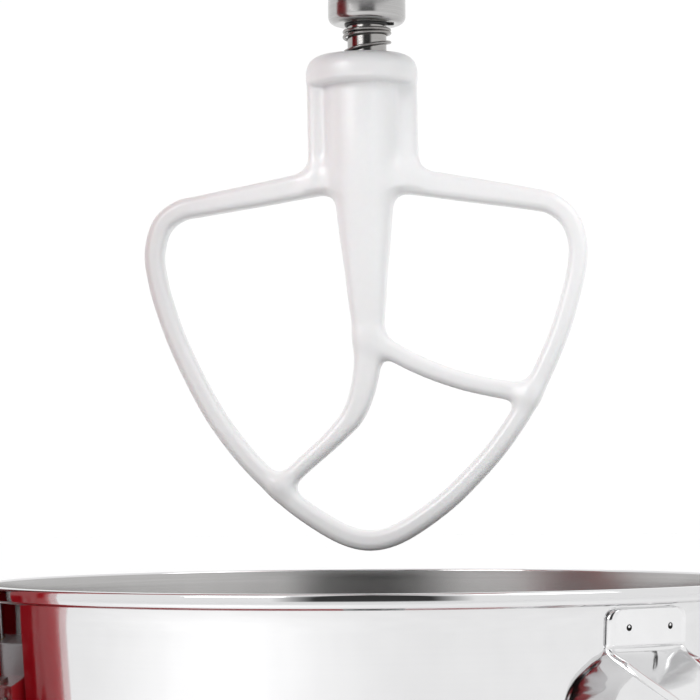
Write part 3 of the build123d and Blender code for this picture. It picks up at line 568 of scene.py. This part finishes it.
def weld_spot(number, height, side):
    """A spot weld on a tab: its profile turned round an axis that points straight out of the bowl."""
    turn_by = handle_angle + side * spots_apart / 2 / wall_at(height, strap_mid)
    ring = np.linspace(0, 2 * math.pi, 24, endpoint=False)
    out = wall_at(height, bowl_sheet + strap_thick) + dish_proud + dish_height + 0 * ring
    sideways, upwards = dish_radius * np.cos(ring), dish_radius * np.sin(ring)
    spot = surface(f"handle_weld_{number}", np.stack([
        bowl_axis[0] + out * math.cos(turn_by) - sideways * math.sin(turn_by),
        bowl_axis[1] + out * math.sin(turn_by) + sideways * math.cos(turn_by),
        height + upwards,
    ], axis=-1))
    set_finish(spot, "bowl_lift", "polished_steel", burnt_steel)


spots = [(height, side) for height in (upper_spots, lower_spots) for side in (-1, 1)]
for number, (height, side) in enumerate(spots, 1):
    weld_spot(number, height, side)


# ---- Agitator shaft and hub ------------------------------------------------------
# The ground steel shaft that drives the beater comes down through a round stainless
# hub, turned and brushed, with a well rounded lower edge.

shaft_low, shaft_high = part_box("agitator_shaft")
shaft_axis = ((shaft_low.x + shaft_high.x) / 2, (shaft_low.y + shaft_high.y) / 2, 0)
hub_low, hub_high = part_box("agitator_hub")
hub_radius = (hub_high.x - hub_low.x) / 2
shaft_radius = (shaft_high.x - shaft_low.x) / 2
hub_round, bore_round, hub_ring = 2.6 * MM, 0.8 * MM, 6 * MM
hub_profile = np.vstack([
    [[shaft_radius, hub_high.z], [shaft_radius, hub_low.z + bore_round]],
    corner((shaft_radius + bore_round, hub_low.z + bore_round), bore_round, 180, 270, 5),
    corner((hub_radius - hub_round, hub_low.z + hub_round), hub_round, -90, 0, 12),
    [[hub_radius, hub_low.z + hub_ring], [hub_radius, hub_high.z], [shaft_radius, hub_high.z]],
])
hub = turned_piece("agitator_hub_shell", hub_profile, shaft_axis, steps=128)
brushed_hub = brushed_by_uv(
    "brushed hub", (0.54, 0.535, 0.53), (0.14, 0.20), 0.25, 2400.0, rings, bump=0.003, middle=shaft_axis,
)
set_finish(hub, "agitator", "brushed_steel", brushed_hub, "agitator_hub")
shaft_steel = steel(
    "ground agitator shaft", (0.42, 0.41, 0.40), (0.10, 0.18), rings, 1900.0, bump=0.003, edge=0.3,
    middle=shaft_axis,
)
dress(shaft_steel, "agitator_shaft", "drive_pin")


# ---- Beater spring ---------------------------------------------------------------
# A spring of drawn steel wire keeps the beater down on its pin. Its top coils lie
# close under a blackened wire clip, and the rest opens out down to the beater.

# half_turn_heights gives the wire's height at each half turn, and a running mean rounds it off.
spring_low, spring_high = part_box("beater_spring")
wire_radius = 0.55 * MM
coil_radius = (spring_high.x - spring_low.x) / 2 - wire_radius
half_turn_heights = np.array([0.6, 1.1, 5.1, 6.7, 8.0, 8.35, 8.8]) * MM
half_turns = np.arange(len(half_turn_heights))
smoothing = 25
along = np.linspace(0, half_turns[-1], 240)
rise = np.interp(along, half_turns, half_turn_heights)
rise = np.pad(rise, smoothing // 2, mode="edge")
rise = np.convolve(rise, np.full(smoothing, 1 / smoothing), mode="valid")


def round_shaft(radius, angle, height):
    """Points round the agitator shaft at those radii, angles and heights."""
    return np.stack([
        shaft_axis[0] + radius * np.cos(angle), shaft_axis[1] + radius * np.sin(angle), height
    ], axis=-1)


coil_line = round_shaft(coil_radius, math.pi * along, spring_low.z + rise)


def wire(name, line, radius, sides=14):
    """A round wire along a line of points: at each point a circle across the line, set by the
    line's direction and the upright, and its ends drawn in to a point."""
    forward = np.gradient(line, axis=0)
    forward /= np.linalg.norm(forward, axis=1, keepdims=True)
    side = np.cross(forward, [0, 0, 1])
    side /= np.linalg.norm(side, axis=1, keepdims=True)
    upright = np.cross(side, forward)
    ends = np.array([0.0, 0.75])
    size = np.concatenate([ends, np.ones(len(line) - 4), ends[::-1]]) * radius
    angle = np.linspace(0, 2 * math.pi, sides, endpoint=False)
    circle = np.cos(angle)[None, :, None] * side[:, None] + np.sin(angle)[None, :, None] * upright[:, None]
    return surface(name, line[:, None] + size[:, None, None] * circle)


spring = wire("beater_spring_wire", coil_line, wire_radius)
spring_wire = steel("drawn wire", (0.36, 0.35, 0.34), (0.16, 0.28), cast, 2400.0, bump=0.006)
set_finish(spring, "agitator", "spring_steel", spring_wire, "beater_spring")
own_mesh(spring)

# The clip is an open ring, and its last few points run outwards as a short ear.
clip_radius, clip_wire, ear_end = 6.9 * MM, 0.4 * MM, 9.2 * MM
clip_turn = np.radians(np.linspace(40, 340, 90))
ear_reach = np.linspace(clip_radius + 0.5 * MM, ear_end, 10)
ear_turn = np.full(len(ear_reach), clip_turn[-1] + math.radians(4))
clip_line = round_shaft(
    np.concatenate([np.full(len(clip_turn), clip_radius), ear_reach]),
    np.concatenate([clip_turn, ear_turn]),
    np.full(len(clip_turn) + len(ear_reach), hub_low.z - clip_wire / 2),
)
clip = wire("spring_clip_ring", clip_line, clip_wire)
blackened = steel("blackened clip", (0.08, 0.08, 0.08), (0.30, 0.45), cast, 2600.0, bump=0.004)
set_finish(clip, "agitator", "shaft_steel", blackened, "spring_clip")


# ---- Flat beater -----------------------------------------------------------------
# The beater is one casting under a satin white nylon coat: a collar with a rib each
# side, two arms, an open loop, a stem that hooks into the loop, and a cross strut.
# Every inner corner is a generous cast fillet, so the parts flow into each other.

beater_low, beater_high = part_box("flat_beater")
beater_tall = (beater_high.z - beater_low.z) / MM
pitch = 0.75                     # mm between the points where the shape is worked out
fillet_loop, fillet_stem, fillet_collar, fillet_rib, fillet_ring = 4.5, 5.0, 5.5, 2.2, 0.8

# Each route point is (across, height, half width), and in the stem, which is not flat, also
# (half depth, corner radius), all in mm.
right_arm = [(4, 121.0, 4.2), (14, 119.2, 4.1), (32, 116.0, 3.9), (54, 112.0, 3.4)]
right_limb = [
    (61.0, 109.9, 3.25), (66.4, 104.6, 3.15), (68.6, 96.5, 3.05), (67.8, 88.5, 3.0), (65.8, 80.5, 3.0),
]
left_arm = [(-4, 121.2, 4.2), (-14, 119.6, 4.0), (-30, 116.8, 3.8), (-53, 113.1, 3.35)]
left_limb = [
    (-60.5, 111.6, 3.25), (-66.4, 106.9, 3.15), (-69.0, 98, 3.05), (-68.1, 89, 3.0), (-65.9, 80.3, 3.0),
]
lower_half = [
    (62.4, 70, 3.0), (57.4, 58.6, 3.05), (51.4, 47, 3.1), (46.2, 38.9, 3.1), (40.3, 31.2, 3.1),
    (34, 24.4, 3.1), (25.3, 16.2, 3.15), (15.1, 8.9, 3.2), (7, 4.7, 3.25), (0, 3.4, 3.3),
]
mirrored = [(-across, height, half) for across, height, half in lower_half[-2::-1]]
loop_route = right_arm + right_limb + lower_half + mirrored + left_limb[::-1] + left_arm[::-1]
stem_route = [
    (0, 142, 12.0, 12.0, 12.0), (0, 132, 11.9, 11.9, 11.8), (0, 124, 11.0, 11.0, 10.0),
    (0, 117, 10.0, 9.8, 8.0), (0, 111, 9.1, 8.7, 6.6), (0, 105, 8.5, 7.8, 5.4),
    (0.1, 97.5, 7.7, 7.0, 4.6), (0.1, 90, 6.8, 6.4, 4.0), (0.2, 82, 6.1, 5.8, 3.4),
    (0.3, 74.5, 5.3, 5.2, 3.0), (0.3, 68, 4.8, 4.8, 2.8), (-0.1, 61, 4.3, 4.6, 2.6),
    (-1.05, 55, 4.0, 4.5, 2.5), (-2.1, 51, 3.85, 4.4, 2.5), (-3.5, 47, 3.65, 4.3, 2.4),
    (-5.7, 43, 3.45, 4.2, 2.4), (-8.8, 39.5, 3.1, 4.2, 2.4), (-12.9, 35.5, 2.85, 4.2, 2.4),
    (-17.5, 31.5, 2.7, 4.2, 2.4), (-22.2, 27.5, 2.65, 4.2, 2.4), (-28, 22.4, 2.65, 4.2, 2.4),
]
strut_route = [
    (0.5, 68.6, 3.2), (7.5, 64.4, 3.05), (15, 60.2, 2.95), (22.8, 56.7, 2.9), (30.4, 54.0, 2.9),
    (38, 52.0, 2.9), (45, 50.6, 3.0), (50.5, 49.7, 3.1),
]


def flat_bar(route, half_deep, rounding):
    """A route whose every point has the same half depth and corner radius."""
    return [(*point, half_deep, rounding) for point in route]


def bar_field(route, across, height, depth):
    """Signed distance, negative inside, to a bar that follows a route in the beater's plane. The
    nearest point of the route gives the half width, the half depth and the corner radius of a
    rounded rectangle, and the distance to that rectangle is taken across the bar."""
    line = smooth_line(route, steps=5)
    flat = np.stack(np.meshgrid(across, height, indexing="ij"), axis=-1).reshape(-1, 2)
    nearest = np.full(len(flat), np.inf)
    sizes = np.zeros((len(flat), 3))
    for start, end in zip(line[:-1], line[1:]):
        run = end[:2] - start[:2]
        share = np.clip((flat - start[:2]) @ run / (run @ run), 0, 1)
        gap = np.hypot(*(flat - start[:2] - share[:, None] * run).T)
        closer = gap < nearest
        nearest[closer] = gap[closer]
        sizes[closer] = start[2:] + share[closer, None] * (end[2:] - start[2:])
    shape = (len(across), len(height), 1)
    nearest = nearest.reshape(shape)
    half_wide, half_thick, rounding = (sizes[:, k].reshape(shape) for k in range(3))
    rounding = np.minimum(rounding, np.minimum(half_wide, half_thick))
    side = nearest - half_wide + rounding
    front = np.abs(depth)[None, None, :] - half_thick + rounding
    return rounded(side, front, rounding)


def rounded(one, other, rounding):
    """Distance to a corner between two faces, rounded to that radius: outside both the two distances
    make a right angle, and elsewhere the larger one counts."""
    outside_both = np.hypot(np.maximum(one, 0), np.maximum(other, 0))
    return outside_both + np.minimum(np.maximum(one, other), 0) - rounding


def between(z, low, high):
    """Distance to a level slab, negative inside it."""
    return np.maximum(low - z, z - high)


def joined(one, other, fillet):
    """Two shapes as one, with a fillet where they meet: the smaller distance, less a smooth term
    that grows as the two distances come within the fillet's size of each other."""
    blend = np.clip(0.5 + 0.5 * (other - one) / fillet, 0, 1)
    return other + (one - other) * blend - fillet * blend * (1 - blend)


def skin(field, start, pitch):
    """The surface where a field crosses zero. Each cell that it passes through gets one point, the
    mean of its crossings with the cell's edges, and each grid edge that it cuts gets one face."""
    cells = tuple(n - 1 for n in field.shape)
    total, count = np.zeros((*cells, 3)), np.zeros(cells)
    cuts = []
    for axis in range(3):
        low = np.moveaxis(field, axis, 0)[:-1]
        high = np.moveaxis(field, axis, 0)[1:]
        cut = (low < 0) != (high < 0)
        share = np.where(cut, low / np.where(cut, low - high, 1), 0)
        cuts.append((cut, low < 0))
        others = [k for k in range(3) if k != axis]
        for first in (0, 1):
            for second in (0, 1):
                window = (slice(None), slice(first, first + cells[others[0]]),
                          slice(second, second + cells[others[1]]))
                here = np.moveaxis(cut[window], 0, axis)
                part = np.moveaxis(share[window], 0, axis)
                count += here
                total[..., axis] += part
                total[..., others[0]] += first * here
                total[..., others[1]] += second * here
    used = count > 0
    number = np.full(cells, -1)
    number[used] = np.arange(used.sum())
    points = np.argwhere(used) + total[used] / count[used][:, None]
    faces = []
    for axis, (cut, filled) in enumerate(cuts):
        ahead = (axis + 1) % 3 < (axis + 2) % 3
        numbers = np.moveaxis(number, axis, 0)
        inner = cut[:, 1:-1, 1:-1]
        i, j, k = (part + shift for part, shift in zip(np.nonzero(inner), (0, 1, 1)))
        quad = np.stack([numbers[i, j - 1, k - 1], numbers[i, j, k - 1], numbers[i, j, k],
                         numbers[i, j - 1, k]], axis=-1)
        outward_up = filled[i, j, k] == ahead
        faces.append(np.where(outward_up[:, None], quad, quad[:, ::-1]))
    return np.asarray(start) + pitch * points, np.vstack(faces)


collar_radius, collar_depth = 18.0, 20.3
across = np.arange(-74, 74.01, pitch)
height = np.arange(-2.2, beater_tall + 2.3, pitch)
depth = np.arange(-collar_depth, collar_depth + 0.01, pitch)
loop = bar_field(flat_bar(loop_route, 4.6, 2.5), across, height, depth)
stem = bar_field(stem_route, across, height, depth)
strut = bar_field(flat_bar(strut_route, 4.0, 2.4), across, height, depth)

# The collar is a round core that the stem grows out of, a rib at each side and a ring on top.
x, z, y = np.meshgrid(across, height, depth, indexing="ij", sparse=True)
radius = np.hypot(x, y)
core_radius, core_foot, rib_foot, collar_inside = 12.0, 133, 119, 155
rib_reach, rib_half, rib_round = 17.8, 4.2, 2.0
ring_foot, ring_top, shoulder, ring_foot_round = 150.5, beater_tall - 0.8, 5.0, 2.5
core = np.maximum(radius - core_radius, between(z, core_foot, collar_inside))
stem = np.minimum(stem, core)
rib = rounded(np.abs(x) - rib_reach + rib_round, np.abs(y) - rib_half + rib_round, rib_round)
rib = np.maximum(rib, between(z, rib_foot, collar_inside))
ring = rounded(radius - collar_radius + shoulder, z - ring_top + shoulder, shoulder)
ring = -joined(-ring, z - ring_foot, ring_foot_round)

# Where the stem passes the arms its fillet is wide, and above them it narrows to the ribs' own.
arms_top, narrowing = 130, 10
beside_arms = np.clip((arms_top - z) / narrowing, 0, 1)
stem_join = fillet_rib + (fillet_stem - fillet_rib) * beside_arms
casting = joined(joined(loop, rib, fillet_collar), stem, stem_join)
casting = joined(casting, strut, fillet_loop)
casting = joined(casting, ring, fillet_ring)

# It is bored for the shaft, wider at the top for the spring, and pocketed across for the pin.
bore_radius, bore_foot, seat_radius, seat_foot = 6.9, 126, 8.8, 157.6
pin_height, pocket_reach, pocket_half, pocket_tall = 144.2, 15, 2.7, 5.2
bore = np.maximum(radius - bore_radius, bore_foot - z)
spring_seat = np.maximum(radius - seat_radius, seat_foot - z)
pin_pocket = np.maximum(np.abs(x) - pocket_reach, np.abs(y) - pocket_half)
pin_pocket = np.maximum(pin_pocket, np.abs(z - pin_height) - pocket_tall)
for hollow in (bore, spring_seat, pin_pocket):
    casting = np.maximum(casting, -hollow)
points, faces = skin(casting, (across[0], height[0], depth[0]), pitch)
points = points[:, [0, 2, 1]] * MM

# It hangs a little loose: turned so that the right limb comes forward, and off plumb.
turn_round, lean, lean_height = math.radians(-6), math.radians(-0.83), 31 * MM
hang = Matrix.Rotation(lean, 3, "Y") @ Matrix.Rotation(turn_round, 3, "Z")
lean_centre = np.array([0, 0, lean_height])
points = (points - lean_centre) @ np.array(hang).T + lean_centre
points += np.array([shaft_axis[0], shaft_axis[1], beater_low.z])
beater_mesh = bpy.data.meshes.new("beater_casting")
beater_mesh.from_pydata(points.tolist(), [], faces.tolist())
beater_mesh.shade_smooth()
beater = bpy.data.objects.new("beater_casting", beater_mesh)
bpy.context.scene.collection.objects.link(beater)
white_coat = finish(
    "white nylon coat", (0.855, 0.862, 0.87), (0.885, 0.89, 0.897), (0.30, 0.40), cast, 520.0,
    bump=0.012, Coat_Weight=0.25, Coat_Roughness=0.22, Specular_IOR_Level=0.5,
    Subsurface_Weight=0.05, Subsurface_Scale=1.0 * MM,
)
set_finish(beater, "beater", "white_coating", white_coat, "flat_beater")


# ---- Room, lights and camera -----------------------------------------------------
# A pale floor under an even white room. One soft lamp hangs at the front left and one
# higher up at the right, and the room is dark straight in front, from the horizon up,
# which gives the polished metal something to show.

def stage_floor():
    """A round pale floor that glows a little more with distance, so that it runs into the room."""
    ring = np.linspace(0, 2 * math.pi, 64, endpoint=False)
    reach = np.array([0.0, 0.3, 0.6, 1.2, 2.4, 6.0, 14.0])[:, None]
    grid = np.stack([reach * np.cos(ring), reach * np.sin(ring), 0 * reach * ring], axis=-1)
    floor = surface("floor", grid)
    material = bpy.data.materials.new("pale floor")
    material.use_nodes = True
    tree = material.node_tree
    shader = tree.nodes["Principled BSDF"]
    place = add(tree, "TexCoord").outputs["Object"]
    away = add(tree, "VectorMath", {0: place}, operation="LENGTH").outputs["Value"]
    glow = add(tree, "MapRange", {0: away, 1: 0.35, 2: 1.6, 3: 0.0, 4: 0.24}).outputs[0]
    tree.links.new(glow, shader.inputs["Emission Strength"])
    tone = noise(tree, place, 6.0, 2.0)
    tone = add(tree, "MapRange", {0: tone, 1: 0.3, 2: 0.7, 3: 0.80, 4: 0.84}).outputs[0]
    grey = add(tree, "CombineColor", {0: tone, 1: tone, 2: tone}).outputs[0]
    tree.links.new(grey, shader.inputs["Base Color"])
    shader.inputs["Emission Color"].default_value = (1, 1, 1, 1)
    shader.inputs["Roughness"].default_value = 0.7
    floor.data.materials.append(material)


def stage_room():
    """The room's light by direction: white, but dark in a tall band straight in front."""
    world = bpy.data.worlds.new("room")
    bpy.context.scene.world = world
    world.use_nodes = True
    tree = world.node_tree
    parts = add(tree, "SeparateXYZ", {0: add(tree, "TexCoord").outputs["Generated"]}).outputs
    level_way = add(tree, "CombineXYZ", {0: parts[0], 1: parts[1]}).outputs[0]
    level_way = add(tree, "VectorMath", {0: level_way}, operation="NORMALIZE").outputs[0]
    ahead = add(tree, "SeparateXYZ", {0: level_way}).outputs[1]
    front = add(tree, "MapRange", {0: ahead, 1: -0.88, 2: -0.96, 3: 0.0, 4: 1.0}).outputs[0]
    above = add(tree, "MapRange", {0: parts[2], 1: 0.0, 2: 0.06, 3: 0.0, 4: 1.0}).outputs[0]
    dim = add(tree, "Math", {0: front, 1: above}, operation="MULTIPLY").outputs[0]
    level = add(tree, "MapRange", {0: dim, 1: 0.0, 2: 1.0, 3: 1.02, 4: 0.05}).outputs[0]
    colour = add(tree, "CombineColor", {0: level, 1: level, 2: level}).outputs[0]
    tree.links.new(colour, tree.nodes["Background"].inputs["Color"])


def soft_lamp(name, place, aim, wide, tall, power):
    """A rectangular lamp at a place, turned to face a point."""
    lamp = bpy.data.lights.new(name, "AREA")
    lamp.shape, lamp.size, lamp.size_y, lamp.energy = "RECTANGLE", wide, tall, power
    holder = bpy.data.objects.new(name, lamp)
    holder.location = place
    holder.rotation_euler = (Vector(aim) - Vector(place)).to_track_quat("-Z", "Y").to_euler()
    bpy.context.scene.collection.objects.link(holder)


stage_floor()
stage_room()
soft_lamp("front left lamp", (-0.9, -1.1, 1.0), (0.05, 0.0, 0.28), 0.7, 0.7, 11)
soft_lamp("right lamp", (1.0, -0.5, 1.3), (0.05, 0.0, 0.30), 0.8, 0.8, 4.5)

camera_data = bpy.data.cameras.new("camera")
camera_data.lens, camera_data.sensor_width = 143.5, 36.0
camera = bpy.data.objects.new("camera", camera_data)
bpy.context.scene.collection.objects.link(camera)
bpy.context.scene.camera = camera
camera_pitch, camera_roll = math.radians(92.9), math.radians(-0.39)
camera.matrix_world = (
    Matrix.Translation((48.8 * MM, -862.5 * MM, 232.2 * MM))
    @ Matrix.Rotation(camera_pitch, 4, "X") @ Matrix.Rotation(camera_roll, 4, "Z")
)
bpy.context.scene.view_settings.view_transform = "Standard"
